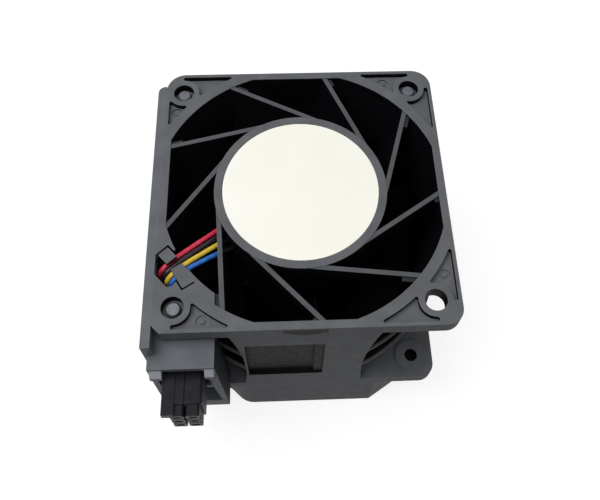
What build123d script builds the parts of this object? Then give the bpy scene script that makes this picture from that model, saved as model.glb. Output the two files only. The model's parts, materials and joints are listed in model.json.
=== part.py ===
"""Server fan module: a 60 mm square axial fan with a six-way plug, drawn in millimetres.

The origin is on the rotor axis, in the plane of the inlet face. +Z is the way the air
leaves, +X is to the right seen from the exhaust side, and the plug points along -Y.
"""

from build123d import *
import math
import os

# Housing envelope
body_width = 60.0
body_depth = 56.0
cover_side_inset = 1.2
half_width = body_width / 2
left_edge = cover_side_inset - half_width
right_edge = half_width

# Flanges and the corner holes
outlet_flange = 3.5
mid_flange = 3.0
mid_flange_under = 17.0
corner_inset = 5.0
corner_hole_r = 2.2
upper_corner_r = 4.2
lower_corner_r = 3.3
lower_corner_chamfer = 1.6
corner_boss_r = 3.6
corner_boss_height = 0.6
corner_offset = half_width - corner_inset
z_outlet_flange = body_depth - outlet_flange
z_mid_top = mid_flange_under + mid_flange
z_boss_top = z_mid_top + corner_boss_height

# Parting plane between the two housings, with its register lip
parting_above_flange = 3.5
z_parting = z_mid_top + parting_above_flange
lip_height = 1.2
lip_wall = 0.7
lip_gap = 0.05

# Air passage
duct_inset = 2.8
barrel_wall = 1.6
throat_flare = 2.8
throat_wall = 1.5
throat_land = 2.0
flare_depth = 12.0
opening_rim = 1.6
bell_flare = 3.8
bell_depth = 6.0
bell_rim = 1.5
wire_shelf = 1.8
bore_r = half_width - duct_inset
barrel_r = bore_r + barrel_wall
throat_r = bore_r + throat_flare
bell_r = bore_r + bell_flare
z_flare_top = body_depth - throat_land
z_flare_foot = z_flare_top - flare_depth

# Flat webs between the flanges, and the ring ribs beside them
web_wall = 1.6
web_top_half = 14.7
web_waist_half = 12.4
web_waist_height = 11.5
recess_left, recess_right = -12.0, 4.0
recess_under_flange = 5.9
recess_above_flange = 6.2
recess_depth = 1.1
recess_step_width = 2.0
recess_step_depth = 0.5
rib_height = 3.0
rib_thickness = 0.9
rib_count = 2
rib_first = 8.5
rib_pitch = 9.0
rib_r = barrel_r + rib_height
recess_low = z_mid_top + recess_above_flange
recess_high = z_outlet_flange - recess_under_flange

# Inlet block
block_cut = 11.5
block_cable_cut = 14.5
block_screw_cut_x, block_screw_cut_y = 13.1, 8.3
block_inset = 0.3
block_cable_r = 5.0
block_edge_chamfer = 0.5

# Pockets beside the corner holes, each with the mark of an ejector pin
pocket_depth = 1.4
pocket_rim = 0.7
pocket_ring = 2.2
pocket_boss_wall = 1.2
pocket_reach = 0.2
pocket_corner_r = 0.35
ejector_along = 5.5
ejector_left_shift = 1.0
ejector_pad_r = 1.2
ejector_pad_depth = 0.3
ejector_nub_r = 0.5
ejector_nub_height = 0.3
pocket_ring_r = throat_r + pocket_ring
pocket_boss_r = corner_hole_r + pocket_boss_wall

# Motor cup and guide vanes
hub_r = 17.5
cup_overhang = 0.3
cup_wall = 1.2
cup_depth = 14.5
cup_plate = 1.5
label_margin = 1.7
label_gap = 0.1
label_thickness = 0.2
label_recess = 0.3
cup_boss_wall = 1.9
cup_boss_depth = 4.0
vane_count = 9
vane_first_angle = 23.2
vane_inside = 0.75
vane_thickness = 0.95
vane_depth = 13.7
vane_lean = 3.4
vane_below_face = 0.25
vane_bite = 0.6
vane_cup_bite = 0.4
vane_start = 2.0
vane_root_length = 3.4
vane_root_extra = 0.85
vane_root_drop = 0.5
cup_r = hub_r + cup_overhang
label_r = cup_r - label_margin
vane_offset = cup_r - vane_inside
z_cup_foot = body_depth - cup_depth
z_plate_top = body_depth - label_recess
z_plate_under = z_plate_top - cup_plate

# Wires, and the clips that hold them in a recess of the outlet flange
wire_d = 1.0
wire_pitch = 1.12
wire_shift = 0.18
wire_sunk = 1.7
wire_vane_dip = 1.9
clip_inset = 0.32
clip_bearing = 212.62
clip_angle = 222.0
clip_thickness = 1.0
clip_gap = 0.4
clip_half_width = 1.2
clip_slot_end = 4.0
upper_clip_start, upper_clip_end = 0.95, 3.6
upper_leg_start, upper_leg_end = 2.3, 3.4
lower_clip_angle = 211.5
lower_clip_corner = (1.36, -0.475)
lower_clip_width, lower_clip_length = 2.55, 4.6
lower_clip_gap = 0.35
lower_leg_start, lower_leg_end = 2.7, 4.4
clip_leg_inset = 0.2
clip_leg_root = 0.3
clip_floor = 2.7
crossing_low, crossing_high = -2.7, 2.2
crossing_reach = 4.6
crossing_start = -1.4
edge_window = ((1.59, 4.2), (2.3, 4.6), (4.25, 2.4), (4.25, -2.7), (3.4, -3.3), (1.59, -3.0))
shelf_end_x, shelf_end_y = -17.1, -8.0
vane_window_out, vane_window_in = 0.1, 2.8
vane_window_y = (-13.2, -6.0)
vane_window_under = 1.1
cup_notch_first, cup_notch_last = 196.5, 222.0
cup_notch_under, cup_notch_over = 2.2, 1.3
cup_notch_spare = 0.2
pad_first, pad_step = 195.4, 8.0
pad_inside = 2.1
pad_rise = 3.4
pad_lead_x, pad_lead_y, pad_lead_drop = 0.9, 0.5, 1.8
vane_wire_y = (-6.9, -8.45, -10.2, -12.3)
down_reach = 3.15
turn_first, turn_step = 0.7, 1.3
corridor_inside = 2.25
spread, spread_shift, spread_beyond = 0.45, 0.3, 0.6
plug_lead = 1.1
bend_share = 0.45
wire_level = body_depth - wire_sunk
z_vane_wire = wire_level - wire_vane_dip
clip_low = body_depth - clip_thickness
slot_floor = body_depth - clip_floor
shelf_r = throat_r - wire_shelf

# Tie pins
pin_r = 1.45
pin_sunk = 0.9
pin_socket = 2.6
pin_grip = 1.2
pin_chamfer = 0.25

# Rotor
hub_wall = 1.3
hub_nose = 1.5
hub_gap = 0.8
z_hub_foot = 9.5
hub_nose_r = 2.4
tip_clearance = 0.5
blade_count = 7
blade_from_nose = 2.5
blade_from_top = 2.7
blade_hub_sweep = 12.0
blade_tip_sweep = 23.0
blade_hub_thickness = 1.9
blade_tip_thickness = 1.2
blade_camber = 0.09
blade_edge = 0.5
blade_root_depth = 2.2
blade_root_bite = 1.0
blade_tip_spare = 1.5
yoke_wall = 1.0
yoke_below_hub = 0.7
magnet_wall = 2.0
magnet_above_floor = 6.0
magnet_below_yoke = 2.0
z_hub_top = z_cup_foot - hub_gap
z_hub_floor = z_hub_foot + hub_nose
z_yoke_top = z_hub_top - yoke_below_hub
blade_low = z_hub_foot + blade_from_nose
blade_high = z_hub_top - blade_from_top
magnet_low = z_hub_floor + magnet_above_floor
magnet_high = z_yoke_top - magnet_below_yoke
yoke_r = hub_r - hub_wall
magnet_r = yoke_r - yoke_wall
magnet_in_r = magnet_r - magnet_wall

# Stator
tooth_count = 6
stack_inside_magnet = 3.0
core_hub_wall = 2.1
tooth_width = 3.0
air_gap = 0.4
shoe_wall = 1.1
shoe_angle = 46.0
insulation = 0.4
insulator_plate = 0.9
insulator_guard = 2.0
insulator_guard_side = 0.8
insulator_guard_root = 0.2
insulator_wall = 0.25
coil_thickness = 1.3
coil_from_hub = 0.5
coil_from_shoe = 0.5
coil_corner_share = 0.8
leg_count = 3
leg_r = 0.9
leg_from_tube = 1.1
stack_low = magnet_low + stack_inside_magnet
stack_high = magnet_high - stack_inside_magnet

# Shaft and bearings
shaft_r = 1.5
bush_wall = 1.9
bush_length = 5.0
bearing_r = 4.0
bearing_width = 4.0
race_inner_r = 2.3
race_outer_r = 3.15
ball_r = 0.7
ball_count = 7
ball_clearance = 0.03
cage_wall = 0.5
cage_width = 2.2
cage_pocket_clearance = 0.08
shield_thickness = 0.2
shield_gap = 0.1
shield_sunk = 0.1
tube_wall = 1.3
tube_shoulder = 0.7
tube_below_stack = 2.0
tube_recess = 0.7
inlet_bearing_sunk = 1.0
exhaust_bearing_sunk = 3.0
shaft_beyond_bearing = 1.4
shaft_chamfer = 0.25
clip_ring_wall = 1.0
clip_ring_groove = 0.3
clip_ring_thickness = 0.5
clip_ring_slot = 1.6
spring_wire_r = 0.2
spring_turns = 3.5
bush_r = shaft_r + bush_wall
tube_r = bearing_r + tube_wall
tube_shoulder_r = bearing_r - tube_shoulder
clip_ring_r = shaft_r + clip_ring_wall
cup_boss_r = tube_r + cup_boss_wall
core_hub_r = tube_r + core_hub_wall
shoe_r = magnet_in_r - air_gap
shoe_inner_r = shoe_r - shoe_wall
coil_low_r = core_hub_r + coil_from_hub
coil_high_r = shoe_inner_r - coil_from_shoe
leg_ring_r = tube_r + leg_from_tube
z_tube_foot = stack_low - tube_below_stack
z_tube_top = z_plate_top - tube_recess
z_inlet_bearing = z_tube_foot + inlet_bearing_sunk
z_exhaust_bearing = z_tube_top - exhaust_bearing_sunk - bearing_width
z_shaft_groove = z_exhaust_bearing + bearing_width
z_shaft_end = z_shaft_groove + shaft_beyond_bearing

# Circuit board and what is on it
board_margin = 0.3
board_in_gap = 0.3
board_thickness = 1.2
board_above_foot = 1.4
sensor_thickness, sensor_width = 1.2, 3.0
sensor_gap = 1.5
sensor_angle = 75
driver_size = (5.0, 6.0, 1.5)
driver_ring_r = 11.2
driver_angle = 20
driver_chamfer = 0.3
transistor_size = (3.2, 3.2, 1.0)
transistor_ring_r = 12.2
transistor_count = 4
transistor_first, transistor_step = 62, 26
capacitor_r = 2.1
capacitor_height = 5.6
capacitor_ring_r = 12.3
capacitor_angles = (270, 305)
capacitor_edge_r = 0.4
resistor_size = (0.8, 1.6, 0.5)
resistor_ring_r = 8.4
resistor_count = 6
resistor_first, resistor_step = 60, 20
board_r = cup_r - cup_wall - board_margin
board_in_r = tube_r + board_in_gap
sensor_ring_r = (magnet_r + magnet_in_r) / 2 - 0.1
z_board = z_cup_foot + board_above_foot
z_board_top = z_board + board_thickness
pad_ring_r = board_r - pad_inside

# Cable cover with the plug bracket
cover_gap = 0.02
cover_wall = 1.8
cover_rise = 1.0
cover_forward = 2.6
cover_short = 3.2
cover_corner_r = 1.6
bracket_forward = 5.3
bracket_depth = 7.3
bracket_under_flange = 1.5
bracket_top_wall = 1.5
bracket_above_flange = 2.7
bracket_low_wall = 4.1
bracket_left_inset = 0.6
bracket_reach_top, bracket_reach_low = 11.4, 12.4
bracket_side_wall = 1.2
lip_front_wall = 1.25
lip_width = 1.15
lip_drop = 6.6
lip_side_bite = 0.3
hook_reach = 1.2
hook_height = 2.6
hook_sunk = 0.6
hook_left, hook_left_end = 0.8, 1.5
hook_right, hook_right_end = 1.9, 0.1
gusset_setback = 0.4
gusset_top_bite, gusset_foot, gusset_foot_width = 0.4, 1.0, 0.5
shelf_wall = 1.5
shelf_short = 1.0
stop_width, stop_depth = 1.3, 1.0
stop_bite = 0.4
plug_gap = 0.1
lug_from_flange = 11.5
lug_height = 3.0
lug_r = 3.0
lug_pin_gap = 0.1
joint_bite = 0.1
cover_bite = 0.5
cover_inner = left_edge - cover_gap
cover_outer = cover_inner - cover_wall
cover_low = mid_flange_under + cover_rise
cover_front = -half_width - cover_forward
cover_back = half_width - cover_short
bracket_front = -half_width - bracket_forward
bracket_back = bracket_front + bracket_depth
bracket_top = z_outlet_flange - bracket_under_flange
bracket_low = z_mid_top + bracket_above_flange
bracket_side_top = left_edge + bracket_reach_top
bracket_side_low = left_edge + bracket_reach_low
bracket_ceiling = bracket_top - bracket_top_wall
bracket_floor = bracket_low + bracket_low_wall
bracket_left = cover_outer + bracket_left_inset
bracket_right = bracket_side_top - bracket_side_wall + joint_bite
lip_low = bracket_top - lip_drop
lip_back = bracket_front + lip_front_wall
hook_top = bracket_top - hook_sunk
lug_low = z_mid_top + lug_from_flange
lug_high = lug_low + lug_height

# Six-way plug
plug_pitch = 3.0
plug_columns = 3
plug_rows = 2
plug_wall = 0.25
plug_end_wall = 0.3
plug_corner_r = 0.45
plug_from_edge = 5.65
plug_below_bracket = 8.6
plug_forward = 12.95
plug_back_gap = 0.5
plug_front_wall = 0.8
cell = 2.1
silo_length = 2.2
silo_gap = 0.35
silo_corner_r = 0.5
collar_left, collar_right = 2.2, 1.0
collar_front_gap = 0.05
collar_length = 1.4
latch_width, latch_cover = 1.05, 1.3
latch_height = 2.0
latch_rise = 0.35
latch_end = 0.05
groove_half, groove_depth = 0.22, 0.4
contact = 1.9
contact_gap = 0.1
contact_inside = 3.0
contact_crimp = 1.6
contact_bore = 1.2
contact_bore_end = 3.0
contact_overlap = 0.1
slot_width, slot_height = 1.5, 1.1
plug_x = left_edge + plug_from_edge
plug_z = bracket_top - plug_below_bracket
plug_front = -half_width - plug_forward
plug_back = -half_width - plug_back_gap
plug_width = plug_rows * plug_pitch + 2 * plug_wall
plug_height = plug_columns * plug_pitch + 2 * plug_end_wall
plug_left, plug_right = plug_x - plug_width / 2, plug_x + plug_width / 2
plug_low, plug_high = plug_z - plug_height / 2, plug_z + plug_height / 2
plug_face = plug_front + silo_length
contact_back = -half_width - contact_inside


def box(x0, x1, y0, y1, z0, z1):
    """A block between two corners."""
    middle = Pos((x0 + x1) / 2, (y0 + y1) / 2, (z0 + z1) / 2)
    return middle * Box(x1 - x0, y1 - y0, z1 - z0)


def disc(r, z0, z1, x=0.0, y=0.0):
    """An upright cylinder."""
    return Pos(x, y, (z0 + z1) / 2) * Cylinder(r, z1 - z0)


def ring(outer, inner, z0, z1, x=0.0, y=0.0):
    """An upright tube."""
    return disc(outer, z0, z1, x, y) - disc(inner, z0 - 1, z1 + 1, x, y)


def taper(r0, r1, z0, z1):
    """A cone frustum on the rotor axis, r0 at its foot and r1 at its top."""
    return Pos(0, 0, (z0 + z1) / 2) * Cone(r0, r1, z1 - z0)


def polar(r, angle):
    """A point on a circle round the rotor axis."""
    a = math.radians(angle)
    return r * math.cos(a), r * math.sin(a)


def fuse(parts):
    """Joins solids into one."""
    parts = list(parts)
    return parts[0].fuse(*parts[1:]).clean() if len(parts) > 1 else parts[0]


def group(parts):
    """Keeps solids separate in one node."""
    solids = []
    for part in parts:
        solids += part.solids()
    return Compound(children=solids)


def corners():
    """The four corner holes, as (x, y)."""
    for sx in (-1, 1):
        for sy in (-1, 1):
            yield sx * corner_offset, sy * corner_offset


def pinned_corners():
    """The corners that a tie pin fills: all but the lower right."""
    return [(x, y) for x, y in corners() if not (x > 0 and y < 0)]


def flange_outline():
    """The flange square with its four different corners."""
    middle = (left_edge + right_edge) / 2
    face = Pos(middle, 0) * Rectangle(right_edge - left_edge, body_width)
    face = fillet([v for v in face.vertices() if v.Y > 0], upper_corner_r)
    low = [v for v in face.vertices() if v.Y < -half_width + 0.01]
    face = fillet([v for v in low if v.X > right_edge - 0.01], lower_corner_r)
    low = [v for v in face.vertices() if v.Y < -half_width + 0.01]
    return chamfer([v for v in low if v.X < left_edge + 0.01], lower_corner_chamfer)


def flats(grow, z0, z1, rim):
    """The square that clips a round opening, inside the flange by its rim."""
    return box(left_edge + rim - grow, right_edge - rim + grow,
               rim - half_width - grow, half_width - rim + grow, z0, z1)


def outlet_passage(grow=0.0):
    """The air passage at the exhaust: a bore that flares into a clipped circle."""
    top = body_depth + 1 if grow == 0 else body_depth
    flare = taper(bore_r + grow, throat_r + grow, z_flare_foot, z_flare_top)
    mouth = disc(throat_r + grow, z_flare_top, top)
    return (flare + mouth) & flats(grow, z_flare_foot, top, opening_rim)


def web(side_angle, z0, z1):
    """A flat web on one side of the barrel, waisted between the flanges."""
    z_waist = z_mid_top + web_waist_height

    def half_at(z):
        share = (z - z_waist) / (z_outlet_flange - z_waist)
        return web_waist_half + (web_top_half - web_waist_half) * share**2
    zm = (z0 + z1) / 2
    right = ThreePointArc((half_at(z0), z0), (half_at(zm), zm), (half_at(z1), z1))
    left = ThreePointArc((-half_at(z1), z1), (-half_at(zm), zm), (-half_at(z0), z0))
    outline = [right, Line(right @ 1, left @ 0), left, Line(left @ 1, right @ 0)]
    face = Plane(origin=(0, -half_width, 0), x_dir=(1, 0, 0), z_dir=(0, -1, 0)) * make_face(outline)
    return Rot(0, 0, side_angle) * extrude(face, -web_wall)


def corner_pockets():
    """Shallow pockets beside each corner hole, on the exhaust face."""
    x0, x1 = left_edge + pocket_rim, right_edge - pocket_rim
    area = Pos((x0 + x1) / 2, 0) * Rectangle(x1 - x0, body_width - 2 * pocket_rim)
    area -= Circle(pocket_ring_r)
    for x, y in corners():
        area -= Pos(x, y) * Circle(pocket_boss_r)
        # The flange's own corner stays solid beyond the hole
        beyond = pocket_reach + half_width / 2
        middle_x, middle_y = x + math.copysign(beyond, x), y + math.copysign(beyond, y)
        area -= Pos(middle_x, middle_y) * Rectangle(half_width, half_width)
    rounded = fillet(area.vertices(), pocket_corner_r)
    # The wire clips take the place of the pocket on the left, above the lower left hole
    kept = [face for face in rounded.faces() if not face.center().X < face.center().Y < 0]
    return [extrude(Pos(0, 0, body_depth - pocket_depth) * face, pocket_depth + 1) for face in kept]


def ejector_marks():
    """Centres of the ejector pins' marks, halfway across one pocket beside each hole."""
    def middle(edge, along):
        return (math.sqrt(pocket_ring_r**2 - along**2) + abs(edge) - pocket_rim) / 2
    near = corner_offset - ejector_along
    left = near + ejector_left_shift
    return [(-near, -middle(half_width, near)), (near, middle(half_width, near)),
            (middle(right_edge, near), -near), (-middle(left_edge, left), left)]


def guide_vane(index):
    """One straight vane, tangent to a circle inside the cup, leaning below its top edge."""
    z1 = body_depth - vane_below_face
    z0 = z1 - vane_depth
    zm = (z0 + z1) / 2
    half = vane_thickness / 2
    bend = vane_lean / 4
    outer = ThreePointArc((half, z1), (half - bend, zm), (half - vane_lean, z0))
    under = Line((half - vane_lean, z0), (-half - vane_lean, z0))
    inner = ThreePointArc((-half - vane_lean, z0), (-half - bend, zm), (-half, z1))
    top = Line((-half, z1), (half, z1))
    section = make_face([outer, under, inner, top])
    place = Plane(origin=(vane_offset, vane_start, 0), x_dir=(1, 0, 0), z_dir=(0, -1, 0))
    vane = extrude(place * section, vane_start - throat_r)
    # A stepped root, thicker on the clockwise side, where the vane meets the barrel
    reach = math.sqrt(throat_r**2 - vane_offset**2)
    root = box(vane_offset, vane_offset + half + vane_root_extra, reach - vane_root_length,
               throat_r, z0, z1 - vane_root_drop)
    turn = Rot(0, 0, vane_first_angle + index * 360 / vane_count)
    return turn * (vane + root)


def clip_point(a, b, z, origin=None, angle=clip_angle):
    """A point in the clips' axes: a runs outward along the wires, b across them."""
    x, y = polar(throat_r - clip_inset, clip_bearing) if origin is None else origin
    t = math.radians(angle)
    return (x + a * math.cos(t) + b * math.sin(t), y + a * math.sin(t) - b * math.cos(t), z)


def clip_frame(a0, a1, b0, b1, z0, z1, origin=None, angle=clip_angle):
    """A block in the clips' axes."""
    place = Pos(*clip_point(0, 0, 0, origin, angle))
    return place * Rot(0, 0, angle) * box(a0, a1, -b1, -b0, z0, z1)


def lower_clip_frame(a0, a1, b0, b1, z0, z1):
    """A block in the lower clip's own axes, which are turned about its outer upper corner."""
    corner = clip_point(*lower_clip_corner, 0)[:2]
    return clip_frame(a0, a1, b0, b1, z0, z1, corner, lower_clip_angle)


def wire_offsets():
    """Where the four wires cross the clips, from red to blue."""
    return [(1.5 - i) * wire_pitch - wire_shift for i in range(4)]


def outlet_housing():
    """Exhaust flange, flared barrel, guide vanes and the motor's cup, in one moulding."""
    flange = extrude(Pos(0, 0, z_outlet_flange) * flange_outline(), outlet_flange)
    shell = disc(barrel_r, z_parting, z_outlet_flange + 1)
    shell += taper(barrel_r, throat_r + throat_wall, z_flare_foot + 2, z_outlet_flange)
    for i in range(rib_count):
        z = z_mid_top + rib_first + i * rib_pitch
        shell += disc(rib_r, z - rib_thickness / 2, z + rib_thickness / 2)
    envelope = box(left_edge, right_edge, -half_width, half_width, z_parting, body_depth)
    shell = shell & envelope
    body = fuse([flange, shell] + [web(a, z_parting, z_outlet_flange) for a in (0, 90, 180)])
    body -= disc(bore_r, z_parting - 1, z_flare_foot + 0.01)
    # Shelf that the wires cross between two vanes, on the inner edge of the flange
    shelf = ring(throat_r + vane_bite, shelf_r, z_outlet_flange, body_depth)
    shelf &= box(left_edge, shelf_end_x, -half_width, shelf_end_y, z_outlet_flange, body_depth)
    body -= outlet_passage() - shelf
    # Register lip that drops into the inlet housing
    body += ring(barrel_r - lip_wall, bore_r, z_parting - lip_height, z_parting)
    # Shallow recess in the front web, less deep at its right end
    step = recess_right - recess_step_width
    body -= box(recess_left, step, -half_width - 1, recess_depth - half_width,
                recess_low, recess_high)
    body -= box(step, recess_right, -half_width - 1, recess_step_depth - half_width,
                recess_low, recess_high)
    body -= corner_pockets()
    cup = disc(cup_r, z_cup_foot, body_depth)
    cup -= disc(cup_r - cup_wall, z_cup_foot - 1, z_plate_under)
    cup += disc(cup_boss_r, z_plate_under - cup_boss_depth, z_plate_under)
    cup -= disc(label_r + label_gap, z_plate_top, body_depth + 1)
    cup -= disc(tube_r, z_cup_foot, body_depth + 1)
    limit = outlet_passage(vane_bite) - disc(cup_r - vane_cup_bite, z_cup_foot - 1, body_depth + 1)
    vanes = [guide_vane(i) & limit for i in range(vane_count)]
    body = fuse([body, cup] + vanes)
    body = cut_wire_path(body)
    for x, y in corners():
        if (x, y) in pinned_corners():
            body -= disc(pin_r, z_outlet_flange - 1, body_depth, x, y)
            body -= disc(corner_hole_r, z_outlet_flange + pin_grip, body_depth + 1, x, y)
        else:
            body -= disc(corner_hole_r, z_outlet_flange - 1, body_depth + 1, x, y)
    mark_low = body_depth - pocket_depth - ejector_pad_depth
    for x, y in ejector_marks():
        body -= disc(ejector_pad_r, mark_low, body_depth, x, y)
        body += disc(ejector_nub_r, mark_low - joint_bite, mark_low + ejector_nub_height, x, y)
    return body


def cut_wire_path(body):
    """Cuts the wires' way out of the cup, past a vane, under the clips and over the edge."""
    # Notch through the cup's wall
    notch_low, notch_high = z_vane_wire - cup_notch_under, z_vane_wire + cup_notch_over
    middle = (cup_notch_first + cup_notch_last) / 2
    far = 2 * cup_r
    sector = Pos(0, 0, notch_low) * extrude(make_face(Polyline(
        (0, 0), polar(far, cup_notch_first), polar(far, middle), polar(far, cup_notch_last),
        close=True)), notch_high - notch_low)
    wall = ring(cup_r + cup_notch_spare, cup_r - cup_wall - cup_notch_spare, notch_low, notch_high)
    body -= sector & wall
    # Window through the vane beside the notch
    body -= box(vane_window_out - cup_r, vane_window_in - cup_r, *vane_window_y,
                z_vane_wire - vane_window_under, clip_low)
    # Slots that hold the clips, open to the passage where the wires cross
    slot_half = clip_half_width + clip_gap
    body -= clip_frame(-slot_half, slot_half, crossing_low, clip_slot_end, slot_floor, body_depth + 1)
    body -= clip_frame(-crossing_reach, slot_half, crossing_low, crossing_high,
                       slot_floor, body_depth + 1)
    body -= lower_clip_frame(-lower_clip_width, lower_clip_gap, -lower_clip_length - lower_clip_gap,
                             0, slot_floor, body_depth + 1)
    # Window past the flange's edge, where the wires turn down
    outline = [clip_point(a, b, 0)[:2] for a, b in edge_window]
    window = extrude(make_face(Polyline(*outline, close=True)), body_depth + 2 - z_outlet_flange)
    body -= Pos(0, 0, z_outlet_flange - 1) * window
    upper = clip_frame(-clip_half_width, clip_half_width, upper_clip_start, upper_clip_end,
                       clip_low, body_depth)
    leg_half = clip_half_width - clip_leg_inset
    upper += clip_frame(-leg_half, leg_half, upper_leg_start, upper_leg_end,
                        slot_floor - clip_leg_root, clip_low)
    lower = lower_clip_frame(-lower_clip_width, 0, -lower_clip_length, 0, clip_low, body_depth)
    lower += lower_clip_frame(clip_leg_inset - lower_clip_width, -clip_leg_inset, -lower_leg_end,
                              -lower_leg_start, slot_floor - clip_leg_root, clip_low)
    return fuse([body, upper, lower])


def inlet_housing():
    """Mid flange, the short barrel above it and the eight-sided inlet block below it."""
    low_y, high_y = block_inset - half_width, half_width - block_inset
    low_x, high_x = left_edge + block_inset, right_edge - block_inset
    outline = [(high_x, low_y + block_screw_cut_y), (high_x, high_y - block_cut),
               (high_x - block_cut, high_y), (low_x + block_cut, high_y),
               (low_x, high_y - block_cut), (low_x, low_y + block_cable_cut),
               (low_x + block_cable_cut, low_y), (high_x - block_screw_cut_x, low_y)]
    face = make_face(Polyline(*outline, close=True))
    face = fillet([v for v in face.vertices() if v.X < 0 and v.Y < 0], block_cable_r)
    block = extrude(face, mid_flange_under)
    block = chamfer(block.edges().group_by(Axis.Z)[0], block_edge_chamfer)
    plate = extrude(Pos(0, 0, mid_flange_under) * flange_outline(), mid_flange)
    foot = z_mid_top - cover_bite
    pieces = [block, plate, disc(barrel_r, foot, z_parting)]
    pieces += [web(a, z_mid_top, z_parting) for a in (0, 90, 180)]
    pieces += [disc(corner_boss_r, foot, z_boss_top, x, y) for x, y in corners()]
    body = fuse(pieces)
    body = body & box(left_edge, right_edge, -half_width, half_width, 0, z_parting)
    body -= disc(bore_r, -1, z_parting + 1)
    body -= bell_mouth()
    lip_r = barrel_r - lip_wall + lip_gap
    body -= disc(lip_r, z_parting - lip_height - lip_gap, z_parting + 1)
    for x, y in corners():
        body -= disc(pin_r, z_boss_top - pin_socket, z_boss_top + 1, x, y)
    return body


def bell_mouth():
    """The inlet's rounded mouth: a quarter ellipse turned about the axis, clipped square."""
    wide, deep = bell_r - bore_r, bell_depth
    quarter = 90
    curve = EllipticalCenterArc((bell_r, deep), wide, deep, start_angle=2 * quarter, arc_size=quarter)
    outline = [curve, Line(curve @ 1, (0, 0)), Line((0, 0), (0, deep)), Line((0, deep), curve @ 0)]
    mouth = revolve(Plane.XZ * make_face(outline), Axis.Z)
    return mouth & flats(0, -1, deep + 1, bell_rim)


def hub_label():
    """Blank round label in the cup's recess."""
    return disc(label_r, z_plate_top, z_plate_top + label_thickness)


def tie_pins():
    """Three long pins that hold the two housings together."""
    low = z_boss_top - pin_socket
    pins = [disc(pin_r, low, body_depth - pin_sunk, x, y) for x, y in pinned_corners()]
    return group([chamfer(pin.edges().group_by(Axis.Z)[-1], pin_chamfer) for pin in pins])


def extrude_y(points, y0, y1):
    """Extrudes an outline given in X and Z, from y0 back to y1."""
    place = Plane(origin=(0, y0, 0), x_dir=(1, 0, 0), z_dir=(0, -1, 0))
    return extrude(place * make_face(Polyline(*points, close=True)), y0 - y1)


def extrude_x(points, x0, x1):
    """Extrudes an outline given in Y and Z, from x0 to x1."""
    place = Plane(origin=(x0, 0, 0), x_dir=(0, 1, 0), z_dir=(1, 0, 0))
    return extrude(place * make_face(Polyline(*points, close=True)), x1 - x0)


def cable_cover():
    """Side plate over the wires, with the bracket that holds the plug."""
    plate = box(cover_outer, cover_inner, cover_front, cover_back, cover_low, body_depth)
    tall = plate.edges().filter_by(Axis.Z).filter_by(lambda e: e.center().X < cover_inner - 0.1)
    plate = fillet([e for e in tall if e.center().Y > 0], cover_corner_r)
    outer = [(bracket_left, bracket_top), (bracket_side_top, bracket_top),
             (bracket_side_low, bracket_low), (bracket_left, bracket_low)]
    frame = extrude_y(outer, bracket_front, bracket_back)
    hollow = [(cover_inner, bracket_ceiling), (bracket_side_top - bracket_side_wall, bracket_ceiling),
              (bracket_side_low - bracket_side_wall, bracket_floor), (cover_inner, bracket_floor)]
    frame -= extrude_y(hollow, bracket_front - 1, bracket_back + 1)
    # Front lips on both sides of the plug, with a wedge hook above each and a gusset below one
    lip_top = bracket_ceiling + joint_bite
    left_lip = box(cover_inner - cover_bite, cover_inner + lip_width, bracket_front, lip_back,
                   lip_low, lip_top)
    right_end = bracket_right + lip_side_bite
    right_lip = box(right_end - lip_width, right_end, bracket_front, lip_back, lip_low, lip_top)
    hook = [(lip_back, hook_top), (bracket_front, hook_top),
            (bracket_front - hook_reach, hook_top - hook_reach),
            (bracket_front - hook_reach, hook_top - hook_height), (lip_back, hook_top - hook_height)]
    hooks = [extrude_x(hook, cover_inner - hook_left, cover_inner + hook_left_end),
             extrude_x(hook, bracket_side_top - hook_right, bracket_side_top - hook_right_end)]
    gusset = extrude_y([(right_end - lip_width, lip_low), (bracket_right + gusset_top_bite, lip_low),
                        (bracket_right + gusset_foot, bracket_floor),
                        (bracket_right + gusset_foot - gusset_foot_width, bracket_floor)],
                       bracket_front + gusset_setback, lip_back)
    # Shelf under the plug and stops behind its collar
    shelf_top = plug_low - plug_gap
    shelf = box(cover_inner - joint_bite, right_end, bracket_front + gusset_setback,
                bracket_back - shelf_short, shelf_top - shelf_wall, shelf_top)
    stop_front = lip_back + collar_front_gap + collar_length + plug_gap
    stops = [box(x, x + stop_width, stop_front, stop_front + stop_depth, shelf_top - joint_bite, lip_top)
             for x in (cover_inner - joint_bite, bracket_right + stop_bite - stop_width)]
    # The two lugs that the left tie pins pass through
    lugs = []
    for y in (-corner_offset, corner_offset):
        eye = disc(lug_r, lug_low, lug_high, -corner_offset, y)
        arm = box(cover_inner - cover_bite, -corner_offset, y - lug_r, y + lug_r, lug_low, lug_high)
        bore = disc(pin_r + lug_pin_gap, lug_low - 1, lug_high + 1, -corner_offset, y)
        lugs.append(eye + arm - bore)
    return fuse([plate, frame, left_lip, right_lip, gusset, shelf] + hooks + stops + lugs)


def plug_cells():
    """The six cell centres, as (x, z), the wired ones first."""
    rows = [plug_z + (1 - i) * plug_pitch for i in range(plug_columns)]
    return [(plug_x + side * plug_pitch / 2, z) for z in rows for side in (-1, 1)]


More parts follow.
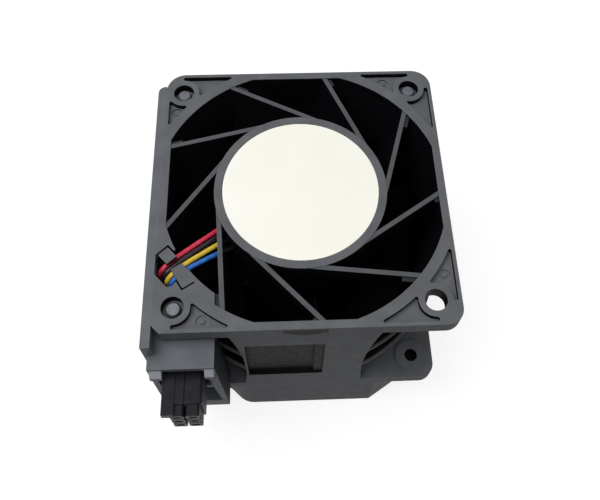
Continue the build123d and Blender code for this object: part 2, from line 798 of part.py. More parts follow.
def plug_housing():
    """Six-way plug: a block with six square snouts, a collar and a side latch."""
    body = box(plug_left, plug_right, plug_face, plug_back, plug_low, plug_high)
    body = fillet(body.edges().filter_by(Axis.Y), plug_corner_r)
    snout = plug_pitch - silo_gap
    for x, z in plug_cells():
        made = box(x - snout / 2, x + snout / 2, plug_front, plug_face + joint_bite,
                   z - snout / 2, z + snout / 2)
        body += fillet(made.edges().filter_by(Axis.Y), silo_corner_r)
    collar_y = lip_back + collar_front_gap
    body += box(plug_left - collar_left, plug_right + collar_right, collar_y,
                collar_y + collar_length, plug_low, plug_high)
    latch_top = plug_high + latch_rise
    body += box(plug_left - latch_width, plug_left + latch_cover, plug_front + latch_end, collar_y,
                latch_top - latch_height, latch_top)
    # Grooves between the two rows, on the upper and lower faces
    for z in (plug_low, plug_high):
        body -= box(plug_x - groove_half, plug_x + groove_half, plug_front - 1, collar_y,
                    z - groove_depth, z + groove_depth)
    for x, z in plug_cells():
        body -= box(x - cell / 2, x + cell / 2, plug_front + plug_front_wall, plug_back + 1,
                    z - cell / 2, z + cell / 2)
        body -= box(x - slot_width / 2, x + slot_width / 2, plug_front - 1, plug_back,
                    z - slot_height / 2, z + slot_height / 2)
    return body


def plug_contacts():
    """Crimped sockets in the four wired cells."""
    front = plug_front + plug_front_wall + contact_gap
    crimp = contact_back - contact_crimp
    half, bore_half, wire_half = contact / 2, contact_bore / 2, wire_d / 2
    made = []
    for x, z in plug_cells()[:4]:
        sleeve = box(x - half, x + half, front, crimp, z - half, z + half)
        sleeve -= box(x - bore_half, x + bore_half, front - 1, contact_back - contact_bore_end,
                      z - bore_half, z + bore_half)
        tail = box(x - wire_half, x + wire_half, crimp - contact_overlap, contact_back,
                   z - wire_half, z + wire_half)
        made.append(sleeve + tail)
    return group(made)


def wire_route(index):
    """The corner points of one wire, from its pad on the board to its contact."""
    b = wire_offsets()[index]
    px, py = polar(pad_ring_r, pad_first + index * pad_step)
    x, z = plug_cells()[(index + 2) % 4]
    turn = plug_z + turn_first + index * turn_step
    down = clip_point(down_reach, b, wire_level)
    corridor = corridor_inside - corner_offset
    side = -1 if x < plug_x else 1
    return [
        (px, py, z_board_top),
        (px, py, z_board_top + pad_rise),
        (px - pad_lead_x, py - pad_lead_y, z_vane_wire - pad_lead_drop),
        (cup_wall - cup_r, vane_wire_y[index], z_vane_wire),
        clip_point(crossing_start, b, wire_level),
        down,
        (down[0], down[1], turn),
        (corridor, corridor, turn),
        (corridor + spread * side + spread_shift, -corner_offset - spread_beyond, (turn + z) / 2),
        (x, -half_width + plug_lead, z),
        (x, contact_back, z),
    ]


def bend_radii(points):
    """The largest bend each corner has room for, by a share of the shorter run."""
    radii = []
    for before, at, after in zip(points, points[1:], points[2:]):
        a, b = Vector(*at) - Vector(*before), Vector(*after) - Vector(*at)
        turn = math.radians(a.get_angle(b))
        radii.append(bend_share * min(a.length, b.length) / math.tan(turn / 2))
    return radii


def wire(index):
    """One insulated wire along its route."""
    points = wire_route(index)
    radii = bend_radii(points)
    path = FilletPolyline(*points, radius=radii)
    section = Plane(origin=path @ 0, z_dir=path % 0) * Circle(wire_d / 2)
    made = sweep(section, path=path)
    print("wire", index, "length", round(path.length, 1), "tightest bend", round(min(radii), 2),
          "volume ratio", round(made.volume / (math.pi * wire_d**2 / 4 * path.length), 4))
    return made


def bearing_tube():
    """Turned sleeve that carries both bearings, with a shoulder for each."""
    made = disc(tube_r, z_tube_foot, z_tube_top)
    made -= disc(tube_shoulder_r, z_tube_foot - 1, z_tube_top + 1)
    made -= disc(bearing_r, z_tube_foot - 1, z_inlet_bearing + bearing_width)
    made -= disc(bearing_r, z_exhaust_bearing, z_tube_top + 1)
    return made


def ball_ring_r():
    """The circle that the ball centres run on."""
    return (race_inner_r + race_outer_r) / 2


def raceway(z):
    """The torus that grooves both rings, a little larger than the balls."""
    return Pos(0, 0, z + bearing_width / 2) * Torus(ball_ring_r(), ball_r + ball_clearance)


def bearing_outer_ring(z):
    return ring(bearing_r, race_outer_r, z, z + bearing_width) - raceway(z)


def bearing_inner_ring(z):
    return ring(race_inner_r, shaft_r, z, z + bearing_width) - raceway(z)


def bearing_balls(z):
    middle = z + bearing_width / 2
    return group([Pos(*polar(ball_ring_r(), i * 360 / ball_count), middle) * Sphere(ball_r)
                  for i in range(ball_count)])


def bearing_cage(z):
    """Ring with a pocket for each ball."""
    middle, r = z + bearing_width / 2, ball_ring_r()
    made = ring(r + cage_wall / 2, r - cage_wall / 2, middle - cage_width / 2, middle + cage_width / 2)
    for i in range(ball_count):
        pocket = Cylinder(ball_r + cage_pocket_clearance, 2 * r, align=(Align.CENTER, Align.CENTER, Align.MIN))
        made -= Pos(0, 0, middle) * Rot(0, 0, i * 360 / ball_count) * Rot(0, 90, 0) * pocket
    return made


def bearing_shields(z):
    """Thin washers that close both ends of a bearing, seated in its outer ring."""
    made = []
    for low in (z + shield_sunk, z + bearing_width - shield_sunk - shield_thickness):
        made.append(ring(race_outer_r, race_inner_r + shield_gap, low, low + shield_thickness))
    return group(made)


def shaft():
    """Steel shaft with a groove for its retaining clip."""
    made = disc(shaft_r, z_hub_floor, z_shaft_end)
    made -= ring(shaft_r + 1, shaft_r - clip_ring_groove, z_shaft_groove,
                 z_shaft_groove + clip_ring_thickness)
    return chamfer(made.edges().group_by(Axis.Z)[-1], shaft_chamfer)


def shaft_bush():
    """Brass bush that ties the shaft to the yoke and the hub."""
    return ring(bush_r, shaft_r, z_hub_floor, z_hub_floor + bush_length)


def retaining_clip():
    """Open ring in the shaft's groove."""
    high = z_shaft_groove + clip_ring_thickness
    made = ring(clip_ring_r, shaft_r - clip_ring_groove, z_shaft_groove, high)
    return made - box(0, clip_ring_r + 1, -clip_ring_slot / 2, clip_ring_slot / 2,
                      z_shaft_groove - 1, high + 1)


def preload_spring():
    """Coil spring between the bush and the inlet bearing's inner ring."""
    low = z_hub_floor + bush_length + spring_wire_r
    high = z_inlet_bearing - spring_wire_r
    r = (shaft_r + race_inner_r) / 2
    pitch = (high - low) / spring_turns
    path = Pos(0, 0, low) * Helix(pitch, high - low, r)
    section = Plane(origin=path @ 0, z_dir=path % 0) * Circle(spring_wire_r)
    return sweep(section, path=path, is_frenet=True)


def blade_section(r, sweep_width, thickness):
    """A cambered blade section on a plane across the radius r."""
    a = Vector(-sweep_width / 2, blade_low)
    b = Vector(sweep_width / 2, blade_high)
    chord = b - a
    normal = Vector(chord.Y, -chord.X) / chord.length
    middle = (a + b) / 2 + normal * (blade_camber * chord.length)
    edge = blade_edge / 2
    upper = ThreePointArc(a - normal * edge, middle - normal * thickness / 2, b - normal * edge)
    lower = ThreePointArc(b + normal * edge, middle + normal * thickness / 2, a + normal * edge)
    outline = [upper, Line(upper @ 1, lower @ 0), lower, Line(lower @ 1, upper @ 0)]
    place = Plane(origin=(r, 0, 0), x_dir=(0, 1, 0), z_dir=(1, 0, 0))
    return place * make_face(outline)


def impeller():
    """Plastic rotor: a hub open towards the motor and seven twisted blades."""
    tip_r = bore_r - tip_clearance
    hub = disc(hub_r, z_hub_foot, z_hub_top)
    hub = fillet(hub.edges().group_by(Axis.Z)[0], hub_nose_r)
    inner = blade_section(hub_r - blade_root_depth, blade_hub_sweep, blade_hub_thickness)
    outer = blade_section(tip_r + blade_tip_spare, blade_tip_sweep, blade_tip_thickness)
    blade = loft([inner, outer], ruled=True)
    blade = blade & ring(tip_r, hub_r - blade_root_bite, blade_low - 5, blade_high + 2)
    blades = [Rot(0, 0, i * 360 / blade_count) * blade for i in range(blade_count)]
    made = fuse([hub] + blades)
    made -= disc(yoke_r, z_hub_floor, z_hub_top + 1)
    return made


def rotor_yoke():
    """Drawn steel cup pressed into the hub."""
    made = disc(yoke_r, z_hub_floor, z_yoke_top)
    made -= disc(magnet_r, z_hub_floor + yoke_wall, z_yoke_top + 1)
    return made - disc(bush_r, z_hub_floor - 1, z_hub_floor + yoke_wall + 1)


def rotor_magnet():
    return ring(magnet_r, magnet_in_r, magnet_low, magnet_high)


def toothed(hub, width, z0, z1, reach):
    """A ring with straight teeth out to a radius."""
    made = disc(hub, z0, z1)
    for i in range(tooth_count):
        made += Rot(0, 0, i * 360 / tooth_count) * box(0, reach, -width / 2, width / 2, z0, z1)
    return made


def stator_core():
    """Stack of laminations: six teeth with curved shoes."""
    made = toothed(core_hub_r, tooth_width, stack_low, stack_high, shoe_inner_r + shoe_wall / 2)
    shoe_ring = ring(shoe_r, shoe_inner_r, stack_low, stack_high)
    half, far = shoe_angle / 2, 2 * shoe_r
    wedge = extrude(Pos(0, 0, stack_low) * make_face(Polyline(
        (0, 0), polar(far, -half), polar(far, 0), polar(far, half), close=True)), stack_high - stack_low)
    shoe = shoe_ring & wedge
    made = fuse([made] + [Rot(0, 0, i * 360 / tooth_count) * shoe for i in range(tooth_count)])
    return made - disc(tube_r, stack_low - 1, stack_high + 1)


def insulator(lower):
    """Moulded end cap that lines the teeth, half of the stack each."""
    middle = (stack_low + stack_high) / 2
    if lower:
        z0, z1 = stack_low - insulator_plate, middle
        guard0, guard1 = z0 - insulator_guard, z0 + insulator_guard_root
    else:
        z0, z1 = middle, stack_high + insulator_plate
        guard0, guard1 = z1 - insulator_guard_root, z1 + insulator_guard
    width = tooth_width + 2 * insulation
    made = toothed(core_hub_r + insulation, width, z0, z1, coil_high_r + insulator_wall)
    core = toothed(core_hub_r, tooth_width, stack_low, stack_high, shoe_r)
    made -= core
    guard_half = width / 2 + insulator_guard_side
    guard = box(coil_high_r, coil_high_r + insulator_wall, -guard_half, guard_half, guard0, guard1)
    made += [Rot(0, 0, i * 360 / tooth_count) * guard for i in range(tooth_count)]
    if not lower:
        # Legs between the teeth, up to the board
        turns = [(i + 0.5) * 360 / tooth_count for i in range(0, tooth_count, tooth_count // leg_count)]
        foot = z1 - insulator_guard_root
        made = fuse([made] + [disc(leg_r, foot, z_board, *polar(leg_ring_r, a)) for a in turns])
    return made - disc(tube_r, guard0 - 1, z_board + 1)


def stator_coils():
    """Six wound coils, one round each tooth."""
    inner_half = tooth_width / 2 + insulation
    low, high = stack_low - insulator_plate, stack_high + insulator_plate
    coil = box(coil_low_r, coil_high_r, -inner_half - coil_thickness, inner_half + coil_thickness,
               low - coil_thickness, high + coil_thickness)
    coil = fillet(coil.edges().filter_by(Axis.X), coil_thickness * coil_corner_share)
    coil -= box(0, 2 * coil_high_r, -inner_half, inner_half, low, high)
    return group([Rot(0, 0, i * 360 / tooth_count) * coil for i in range(tooth_count)])


def circuit_board():
    """Ring-shaped driver board, seated on the upper insulator's legs."""
    return ring(board_r, board_in_r, z_board, z_board_top)


def on_board(size, r, angle, z=z_board_top):
    """A small block on the board, turned to face the axis."""
    return Rot(0, 0, angle) * box(r - size[0] / 2, r + size[0] / 2, -size[1] / 2, size[1] / 2,
                                  z, z + size[2])


def hall_sensor():
    """Sensor that hangs under the board, over the magnet's end."""
    height = z_board - magnet_high - sensor_gap
    return on_board((sensor_thickness, sensor_width, height), sensor_ring_r, sensor_angle,
                    z_board - height)


def driver_chip():
    chip = on_board(driver_size, driver_ring_r, driver_angle)
    return chamfer(chip.edges().group_by(Axis.Z)[-1], driver_chamfer)


def power_transistors():
    turns = [transistor_first + i * transistor_step for i in range(transistor_count)]
    return group([on_board(transistor_size, transistor_ring_r, a) for a in turns])


def capacitors():
    made = []
    for angle in capacitor_angles:
        can = disc(capacitor_r, z_board_top, z_board_top + capacitor_height, *polar(capacitor_ring_r, angle))
        made.append(fillet(can.edges().group_by(Axis.Z)[-1], capacitor_edge_r))
    return group(made)


def chip_resistors():
    turns = [resistor_first + i * resistor_step for i in range(resistor_count)]
    return group([on_board(resistor_size, resistor_ring_r, a) for a in turns])


PARTS = {
    "outlet_housing": outlet_housing,
    "inlet_housing": inlet_housing,
    "hub_label": hub_label,
    "tie_pins": tie_pins,
    "cable_cover": cable_cover,
    "plug_housing": plug_housing,
    "plug_contacts": plug_contacts,
    "wire_red": lambda: wire(0),
    "wire_black": lambda: wire(1),
    "wire_yellow": lambda: wire(2),
    "wire_blue": lambda: wire(3),
    "bearing_tube": bearing_tube,
    "inlet_bearing_outer_ring": lambda: bearing_outer_ring(z_inlet_bearing),
    "inlet_bearing_inner_ring": lambda: bearing_inner_ring(z_inlet_bearing),
    "inlet_bearing_balls": lambda: bearing_balls(z_inlet_bearing),
    "inlet_bearing_cage": lambda: bearing_cage(z_inlet_bearing),
    "inlet_bearing_shields": lambda: bearing_shields(z_inlet_bearing),
    "exhaust_bearing_outer_ring": lambda: bearing_outer_ring(z_exhaust_bearing),
    "exhaust_bearing_inner_ring": lambda: bearing_inner_ring(z_exhaust_bearing),
    "exhaust_bearing_balls": lambda: bearing_balls(z_exhaust_bearing),
    "exhaust_bearing_cage": lambda: bearing_cage(z_exhaust_bearing),
    "exhaust_bearing_shields": lambda: bearing_shields(z_exhaust_bearing),
    "stator_core": stator_core,
    "stator_insulator_lower": lambda: insulator(True),
    "stator_insulator_upper": lambda: insulator(False),
    "stator_coils": stator_coils,
    "circuit_board": circuit_board,
    "hall_sensor": hall_sensor,
    "driver_chip": driver_chip,
    "power_transistors": power_transistors,
    "capacitors": capacitors,
    "chip_resistors": chip_resistors,
    "impeller": impeller,
    "rotor_yoke": rotor_yoke,
    "rotor_magnet": rotor_magnet,
    "shaft": shaft,
    "shaft_bush": shaft_bush,
    "retaining_clip": retaining_clip,
    "preload_spring": preload_spring,
}

os.makedirs("parts", exist_ok=True)
for name, make in PARTS.items():
    export_step(make(), os.path.join("parts", name + ".step"))
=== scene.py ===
"""Looks of the server fan module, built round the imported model, in metres and in the model's own frame."""

import json
import math
import bpy
from mathutils import Euler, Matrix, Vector


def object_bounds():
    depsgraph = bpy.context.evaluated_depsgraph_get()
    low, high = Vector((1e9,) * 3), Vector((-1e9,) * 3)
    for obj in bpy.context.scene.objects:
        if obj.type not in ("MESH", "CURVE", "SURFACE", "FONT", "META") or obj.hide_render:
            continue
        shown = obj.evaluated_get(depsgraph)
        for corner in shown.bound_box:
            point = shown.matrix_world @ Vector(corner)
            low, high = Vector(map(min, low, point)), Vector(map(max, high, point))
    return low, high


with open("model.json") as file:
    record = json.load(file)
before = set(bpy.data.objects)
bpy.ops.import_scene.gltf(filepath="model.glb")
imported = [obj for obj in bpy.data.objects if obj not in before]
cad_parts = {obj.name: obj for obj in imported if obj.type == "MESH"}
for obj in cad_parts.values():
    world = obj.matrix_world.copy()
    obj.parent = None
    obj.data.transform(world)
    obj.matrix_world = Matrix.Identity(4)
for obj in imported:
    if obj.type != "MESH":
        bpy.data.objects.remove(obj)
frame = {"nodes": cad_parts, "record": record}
nodes = frame["nodes"]
cad_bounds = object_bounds()

MM = 0.001

# The photograph's camera, fitted to the flange and its holes
camera_place = Vector((-3.94, -74.84, 188.43)) * MM
camera_turn = [math.radians(a) for a in (30.153, -1.094, -2.237)]
camera_lens, camera_sensor = 44.33, 36
photo_width = 600
camera_shift = (-8 / photo_width, -70 / photo_width)
camera_near = 0.01

# Lamps: name, power in watts, size, place and aim in millimetres
lamps = {
    "top_softbox": (0.98, 260, (-130, -20, 415), (0, 0, 40)),
    "front_fill": (0.04, 300, (60, -420, 200), (0, 0, 25)),
}
# The sky's light on the object, level and straight down
sky_side, sky_top = 0.0, 0.6
# The floor's width in metres, its tone as a light source and as seen, and its own light where seen
floor_size = 4.0
floor_bounce, floor_seen, floor_glow = 0.1, 0.35, 0.8

# Places with painted shade: a box is its lowest and highest corner in millimetres
# Painted shade on the duct's inside, by the level where it starts to flare and the level of its mouth
bore_r, mouth_r = 27.9 * MM, 30.3 * MM
flare_low, flare_high = 42.0 * MM, 54.0 * MM
# The duct's painted shade fades out over the vanes' top millimetre
vane_dark, vane_light = 55.0 * MM, 56.0 * MM
# Painted shade in the front web's recess
recess_box = ((-12.1, -29.95, 26.1), (4.1, -28.4, 46.7))
# Painted shade on the upright walls of the pockets and holes in the exhaust flange, not farther out than this
# radius
flange_box = ((-28.6, -29.4, 52.6), (29.4, 29.4, 55.8))
corner_inside_r = 40.0 * MM
wall_tilt = 0.5
# Painted shade on the floor of the wire clips' slots
slot_box = ((-29.4, -24.0, 53.0), (-19.0, -9.0, 53.6))
# Painted shade in the open socket in the middle flange
socket_box = ((23.0, -27.0, 17.5), (27.0, -23.0, 20.55))
# Painted shade on the barrel's outside between the flanges, within the webs' faces and the ribs' edges
barrel_box = ((-29.7, -29.7, 20.7), (29.7, 29.7, 52.4))
rib_inside_r = 31.3 * MM
# Painted shade on the floor inside the inlet's mouth, which has no glow and the floor's darker tone
mouth_box = ((-28.6, -29.5, -1.0), (29.5, 29.5, 1.0))
mouth_floor_r = 31.5 * MM
# Painted shade on the bracket's walls that face right
bracket_wall_box = ((-19.3, -35.25, 22.8), (-16.2, -27.9, 50.9))
right_tilt = 0.3
# Painted highlight on the bracket's two hooks
hook_highlight_box = ((-30.0, -36.7, 48.9), (-17.3, -35.32, 50.6))
# Painted shade on the wires between the vane and the motor cup
wire_shade_start, wire_shade_end = -16.9 * MM, -16.4 * MM

# Painted shade and rubbed plastic, as colours in 0 to 255; the cover's rubbed colour is also the hooks'
# painted highlight
housing_painted_shade, housing_worn = (9, 10, 13), (128, 132, 132)
cover_painted_shade, cover_wear_and_highlight = (22, 23, 28), (150, 152, 160)
# Linear colours
# The wires' painted shade
wire_painted_shade = (0.006, 0.006, 0.009, 1.0)
white = (1.0, 1.0, 1.0, 1.0)

# Surface scales
grain_size = 0.16 * MM
fleck_size = 0.4 * MM
blotch_size = 5 * MM
edge_radius = 0.22 * MM
# The part of a noise's values that a tone is spread over
narrow = (0.35, 0.65)
wide = (0.3, 0.7)
# Moulded plastic: its grain's bump, its share of light flecks, and how sharp an edge is rubbed
grain_strength, grain_depth = 0.35, 0.03 * MM
fleck_share = 0.35
edge_flat, edge_sharp = 0.99, 0.80
bevel_samples = 6
# Metal: its share of tarnish, and how long its machining marks are for their width
tarnish_share = 0.6
mark_stretch = 12.0
# Label: its share of faint fibres
fibre_share = 0.25


def srgb(r, g, b):
    """A colour given in 0 to 255, as the linear colour that a shader takes."""
    linear = [c / 255 / 12.92 if c <= 10 else ((c / 255 + 0.055) / 1.055) ** 2.4 for c in (r, g, b)]
    return (*linear, 1.0)


class Shader:
    """A material's node tree, built one node at a time."""

    def __init__(self, name):
        self.material = bpy.data.materials.new(name)
        self.material.use_nodes = True
        self.tree = self.material.node_tree
        self.tree.nodes.clear()
        self.surface = self.add("BsdfPrincipled")
        self.add("OutputMaterial", {"Surface": self.surface.outputs["BSDF"]})
        self.place = self.add("TexCoord").outputs["Object"]

    def add(self, kind, inputs=None, **settings):
        """Adds a node, with its settings and its inputs as values or as other nodes' outputs."""
        made = self.tree.nodes.new("ShaderNode" + kind)
        for key, value in settings.items():
            setattr(made, key, value)
        for key, value in (inputs or {}).items():
            if isinstance(value, bpy.types.NodeSocket):
                self.tree.links.new(value, made.inputs[key])
            else:
                made.inputs[key].default_value = value
        return made

    def noise(self, size, detail=3.0, rough=0.55, place=None):
        """Noise whose features are about that size, in metres."""
        inputs = {"Vector": place or self.place, "Scale": 1 / size, "Detail": detail, "Roughness": rough}
        return self.add("TexNoise", inputs).outputs["Fac"]

    def span(self, value, low, high, start=0.0, end=1.0):
        """Maps a value from low..high to start..end, held at the ends."""
        inputs = {"Value": value, "From Min": low, "From Max": high, "To Min": start, "To Max": end}
        return self.add("MapRange", inputs).outputs["Result"]

    def mix(self, share, first, second):
        return self.add("MixRGB", {"Fac": share, "Color1": first, "Color2": second}).outputs["Color"]

    def bump(self, height, strength, depth, normal=None):
        """The normal of a surface that a height map roughens by that depth, in metres."""
        inputs = {"Height": height, "Strength": strength, "Distance": depth}
        if normal is not None:
            inputs["Normal"] = normal
        return self.add("Bump", inputs).outputs["Normal"]

    def math(self, operation, first, second=0.0):
        return self.add("Math", {0: first, 1: second}, operation=operation).outputs[0]

    def less(self, value, limit):
        return self.math("LESS_THAN", value, limit)

    def split(self, vector):
        """The three parts of a vector."""
        parts = self.add("SeparateXYZ", {"Vector": vector}).outputs
        return [parts[axis] for axis in "XYZ"]

    def true_normal(self):
        return self.add("NewGeometry").outputs["Normal"]

    def from_axis(self, x, y):
        """The distance from the rotor's axis."""
        squares = [self.math("MULTIPLY", value, value) for value in (x, y)]
        return self.math("SQRT", self.math("ADD", *squares))

    def inside_box(self, x, y, z, low, high):
        """1 inside a box given in millimetres, and 0 outside it."""
        share = 1.0
        for value, start, end in zip((x, y, z), low, high):
            share = self.math("MULTIPLY", self.less(value, end * MM), share)
            share = self.math("MULTIPLY", self.math("GREATER_THAN", value, start * MM), share)
        return share

    def set(self, **sockets):
        """Sets or links the surface's sockets; an underscore stands for a space."""
        for key, value in sockets.items():
            socket = self.surface.inputs[key.replace("_", " ")]
            if isinstance(value, bpy.types.NodeSocket):
                self.tree.links.new(value, socket)
            else:
                socket.default_value = value
        return self


def shade_housing(s, colour):
    """Paints shade on the duct, the pockets' walls, the barrel between the flanges and the small hollows."""
    x, y, z = s.split(s.place)
    across = s.from_axis(x, y)
    passage = s.less(across, s.span(z, flare_low, flare_high, bore_r, mouth_r))
    painted_shade_mask = s.math("MULTIPLY", passage, s.span(z, vane_dark, vane_light, 1.0, 0.0))
    normal = s.split(s.true_normal())[2]
    walls = s.math("MULTIPLY", s.inside_box(x, y, z, *flange_box), s.less(normal, wall_tilt))
    walls = s.math("MULTIPLY", walls, s.less(across, corner_inside_r))
    barrel = s.math("MULTIPLY", s.inside_box(x, y, z, *barrel_box), s.less(across, rib_inside_r))
    hollows = [s.inside_box(x, y, z, *place) for place in (recess_box, slot_box, socket_box)]
    for more in [walls, barrel] + hollows:
        painted_shade_mask = s.math("MAXIMUM", painted_shade_mask, more)
    # The painted shade: a dark colour over the duct, the walls, the barrel and the hollows
    return s.mix(painted_shade_mask, colour, srgb(*housing_painted_shade))


def shade_bracket(s, colour):
    """Paints shade on the bracket's walls that face right, and a painted highlight on its two hooks."""
    x, y, z = s.split(s.place)
    right = s.math("GREATER_THAN", s.split(s.true_normal())[0], right_tilt)
    painted_shade_mask = s.math("MULTIPLY", s.inside_box(x, y, z, *bracket_wall_box), right)
    lit = s.inside_box(x, y, z, *hook_highlight_box)
    # Painted shade on the right-facing walls, and a painted highlight on the hooks in the rubbed-edge colour
    return s.mix(lit, s.mix(painted_shade_mask, colour, srgb(*cover_painted_shade)), srgb(*cover_wear_and_highlight))


def moulded(name, dark, light, rough, worn=None, grain=1.0, bevel=edge_radius, sheen=0.45, shade=None):
    """Moulded plastic: spark-eroded grain, blotches in tone, rounded and slightly rubbed edges.

    The function shade paints shade, and on the bracket a highlight, into the tone by its place on the part.
    """
    s = Shader(name)
    tone = s.span(s.noise(blotch_size, detail=4.0, rough=0.6), *narrow)
    flecks = s.span(s.noise(fleck_size, detail=2.0), *wide)
    colour = s.mix(tone, dark, light)
    colour = s.mix(s.math("MULTIPLY", flecks, fleck_share), colour, light)
    rounded = s.add("Bevel", {"Radius": bevel}, samples=bevel_samples).outputs["Normal"]
    if worn is not None:
        normals = {0: rounded, 1: s.true_normal()}
        facing = s.add("VectorMath", normals, operation="DOT_PRODUCT").outputs["Value"]
        edge = s.span(facing, edge_flat, edge_sharp)
        rubbed = s.math("MULTIPLY", edge, s.span(s.noise(1.5 * MM), 0.3, 0.6, 0.35, 1.0))
        colour = s.mix(rubbed, colour, worn)
    if shade is not None:
        colour = shade(s, colour)
    bump = s.bump(s.noise(grain_size, detail=2.0, rough=0.6), grain_strength * grain, grain_depth, rounded)
    rough_map = s.span(s.noise(1.2 * MM), *wide, rough - 0.06, rough + 0.06)
    return s.set(Base_Color=colour, Roughness=rough_map, Normal=bump, Specular_IOR_Level=sheen).material


def metal(name, colour, rough, brushed=0.0, tarnish=None):
    """Metal with fine machining marks and a little tarnish."""
    s = Shader(name)
    tint = s.span(s.noise(1.5 * MM, detail=4.0), *narrow)
    tone = s.mix(s.math("MULTIPLY", tint, tarnish_share), colour, tarnish or colour)
    rough_map = s.span(s.noise(0.4 * MM), *wide, rough - 0.05, rough + 0.08)
    lines = s.add("Mapping", {"Vector": s.place, "Scale": (1.0, 1.0, mark_stretch)}).outputs["Vector"]
    bump = s.bump(s.noise(0.15 * MM, detail=2.0, place=lines), 0.1 + brushed, 0.01 * MM)
    return s.set(Base_Color=tone, Roughness=rough_map, Normal=bump, Metallic=1.0).material


def insulation(name, colour, deep):
    """Glossy extruded wire insulation with a slightly uneven tone, and painted shade on the wires past the
    vane.
    """
    s = Shader(name)
    tone = s.span(s.noise(1.2 * MM), 0.35, 0.7)
    bump = s.bump(s.noise(0.5 * MM, detail=2.0), 0.15, 0.02 * MM)
    rough = s.span(s.noise(0.8 * MM, detail=2.0), *wide, 0.28, 0.42)
    # Painted shade: the wires turn dark past the vane
    shade = s.span(s.split(s.place)[0], wire_shade_start, wire_shade_end)
    shown = s.mix(shade, s.mix(tone, deep, colour), wire_painted_shade)
    return s.set(Base_Color=shown, Roughness=rough, Normal=bump, Specular_IOR_Level=0.4).material


def label_film(name):
    """Blank printed-white film, a little yellowed, with faint fibres and ripples."""
    s = Shader(name)
    tone = s.span(s.noise(9 * MM), *narrow)
    fibre = s.span(s.noise(0.35 * MM, detail=4.0, rough=0.7), *narrow)
    colour = s.mix(tone, srgb(251, 250, 238), srgb(254, 253, 245))
    colour = s.mix(s.math("MULTIPLY", fibre, fibre_share), colour, srgb(246, 244, 231))
    bump = s.bump(s.noise(2.5 * MM, detail=4.0), 0.12, 0.05 * MM)
    rough = s.span(s.noise(1.0 * MM), *wide, 0.55, 0.68)
    return s.set(Base_Color=colour, Roughness=rough, Normal=bump, Specular_IOR_Level=0.3).material


def make_materials():
    """Every material, under the name of the record's slot."""
    return {
        "housing_plastic": moulded("housing_plastic", srgb(90, 92, 95), srgb(102, 104, 108), 0.6,
                                   worn=srgb(*housing_worn), sheen=0.08, shade=shade_housing),
        "cover_plastic": moulded("cover_plastic", srgb(90, 94, 99), srgb(102, 105, 111), 0.56,
                                 worn=srgb(*cover_wear_and_highlight), sheen=0.12, shade=shade_bracket),
        "impeller_plastic": moulded("impeller_plastic", srgb(13, 14, 17), srgb(18, 19, 23), 0.5,
                                    worn=srgb(30, 31, 35), grain=0.5, sheen=0.2),
        "plug_plastic": moulded("plug_plastic", srgb(19, 20, 25), srgb(27, 28, 34), 0.42,
                                worn=srgb(84, 86, 94), grain=0.5, bevel=0.12 * MM, sheen=0.08),
        "insulator_nylon": moulded("insulator_nylon", srgb(214, 210, 196), srgb(226, 223, 210), 0.45),
        "cage_nylon": moulded("cage_nylon", srgb(150, 112, 70), srgb(170, 130, 86), 0.45, bevel=0.05 * MM),
        "chip_black": moulded("chip_black", srgb(22, 22, 23), srgb(30, 30, 31), 0.5, bevel=0.06 * MM),
        "magnet": moulded("magnet", srgb(48, 48, 50), srgb(58, 58, 60), 0.55),
        "board_green": moulded("board_green", srgb(18, 78, 42), srgb(26, 92, 52), 0.25, grain=0.3),
        "label_paper": label_film("label_paper"),
        "contact_tin": metal("contact_tin", srgb(200, 196, 184), 0.3, tarnish=srgb(160, 152, 138)),
        "pin_steel": metal("pin_steel", srgb(112, 113, 120), 0.6, tarnish=srgb(92, 93, 100)),
        "bearing_steel": metal("bearing_steel", srgb(214, 214, 218), 0.14),
        "yoke_steel": metal("yoke_steel", srgb(176, 176, 180), 0.34, 0.1, tarnish=srgb(150, 150, 154)),
        "spring_steel": metal("spring_steel", srgb(168, 168, 174), 0.28),
        "brass": metal("brass", srgb(206, 166, 96), 0.28, 0.1, tarnish=srgb(176, 134, 72)),
        "lamination_steel": metal("lamination_steel", srgb(120, 124, 130), 0.42, 0.3,
                                  tarnish=srgb(96, 100, 108)),
        "copper_enamel": metal("copper_enamel", srgb(196, 104, 54), 0.3, 0.2, tarnish=srgb(160, 76, 36)),
        "capacitor_can": metal("capacitor_can", srgb(196, 198, 202), 0.3),
        "wire_red": insulation("wire_red", srgb(226, 62, 92), srgb(190, 36, 62)),
        "wire_black": insulation("wire_black", srgb(36, 24, 34), srgb(20, 14, 22)),
        "wire_yellow": insulation("wire_yellow", srgb(230, 202, 70), srgb(204, 168, 44)),
        "wire_blue": insulation("wire_blue", srgb(52, 124, 208), srgb(30, 88, 176)),
    }


def dress_nodes(materials):
    """Gives each carried-over node the material of its slot."""
    for entry in frame["record"]["subparts"]:
        mesh = nodes[entry["node"]].data
        mesh.materials.clear()
        mesh.materials.append(materials[entry["material_slot"]])


def add_camera():
    data = bpy.data.cameras.new("camera")
    data.lens = camera_lens
    data.sensor_width = camera_sensor
    data.shift_x, data.shift_y = camera_shift
    data.clip_start = camera_near
    camera = bpy.data.objects.new("camera", data)
    camera.location = camera_place
    camera.rotation_euler = Euler(camera_turn)
    bpy.context.scene.collection.objects.link(camera)
    bpy.context.scene.camera = camera


def add_lamps():
    for name, (power, size, place, aim) in lamps.items():
        data = bpy.data.lights.new(name, "AREA")
        data.energy = power
        data.size = size * MM
        lamp = bpy.data.objects.new(name, data)
        lamp.location = Vector(place) * MM
        towards = Vector(aim) * MM - lamp.location
        lamp.rotation_euler = towards.to_track_quat("-Z", "Y").to_euler()
        bpy.context.scene.collection.objects.link(lamp)


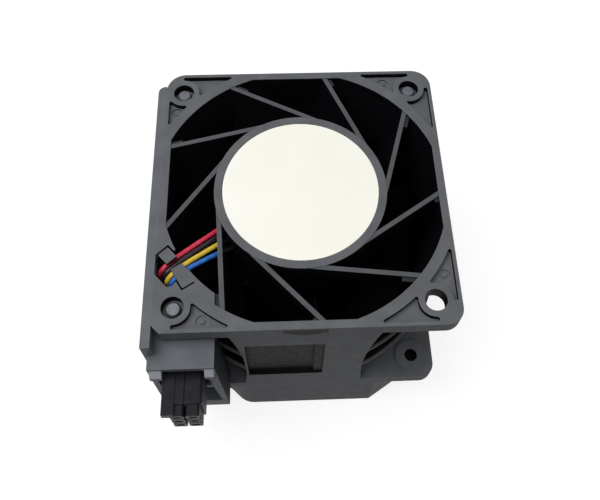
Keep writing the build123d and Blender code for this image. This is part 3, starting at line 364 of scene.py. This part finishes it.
def seen_directly(tree):
    """1 for camera, glossy and transmission rays, and 0 for the rest."""
    paths = tree.nodes.new("ShaderNodeLightPath")
    total = paths.outputs["Is Camera Ray"]
    for ray in ("Is Glossy Ray", "Is Transmission Ray"):
        either = tree.nodes.new("ShaderNodeMath")
        either.operation = "MAXIMUM"
        tree.links.new(total, either.inputs[0])
        tree.links.new(paths.outputs[ray], either.inputs[1])
        total = either.outputs[0]
    return total


def add_world():
    """Plain white where it is seen, and a dim light on the object, stronger from above."""
    world = bpy.data.worlds.new("studio")
    world.use_nodes = True
    tree = world.node_tree
    back = tree.nodes["Background"]
    back.inputs["Color"].default_value = white
    up = tree.nodes.new("ShaderNodeSeparateXYZ")
    tree.links.new(tree.nodes.new("ShaderNodeTexCoord").outputs["Generated"], up.inputs["Vector"])
    light = tree.nodes.new("ShaderNodeMapRange")
    light.inputs["To Min"].default_value = sky_side
    light.inputs["To Max"].default_value = sky_top
    tree.links.new(up.outputs["Z"], light.inputs["Value"])
    strength = tree.nodes.new("ShaderNodeMapRange")
    strength.inputs["To Max"].default_value = 1.0
    tree.links.new(light.outputs["Result"], strength.inputs["To Min"])
    tree.links.new(seen_directly(tree), strength.inputs["Value"])
    tree.links.new(strength.outputs["Result"], back.inputs["Strength"])
    bpy.context.scene.world = world


def add_floor():
    """White floor that keeps the object's shadow and throws little light back on it."""
    mesh = bpy.data.meshes.new("floor")
    half = floor_size / 2
    level = cad_bounds[0].z
    mesh.from_pydata([(-half, -half, level), (half, -half, level), (half, half, level), (-half, half, level)],
                     [], [(0, 1, 2, 3)])
    floor = bpy.data.objects.new("floor", mesh)
    bpy.context.scene.collection.objects.link(floor)
    s = Shader("floor")
    x, y, z = s.split(s.place)
    # Painted shade: the floor inside the inlet's mouth loses its glow and takes the darker tone
    under = s.math("MULTIPLY", s.less(s.from_axis(x, y), mouth_floor_r), s.inside_box(x, y, z, *mouth_box))
    seen = s.math("MULTIPLY", seen_directly(s.tree), s.math("SUBTRACT", 1.0, under))
    shade = s.mix(seen, (floor_bounce,) * 3 + (1.0,), (floor_seen,) * 3 + (1.0,))
    glow = s.math("MULTIPLY", seen, floor_glow)
    s.set(Base_Color=shade, Roughness=0.9, Specular_IOR_Level=0.0)
    s.set(Emission_Color=white, Emission_Strength=glow)
    mesh.materials.append(s.material)


bpy.context.scene.view_settings.view_transform = "Standard"
dress_nodes(make_materials())
add_camera()
add_lamps()
add_world()
add_floor()
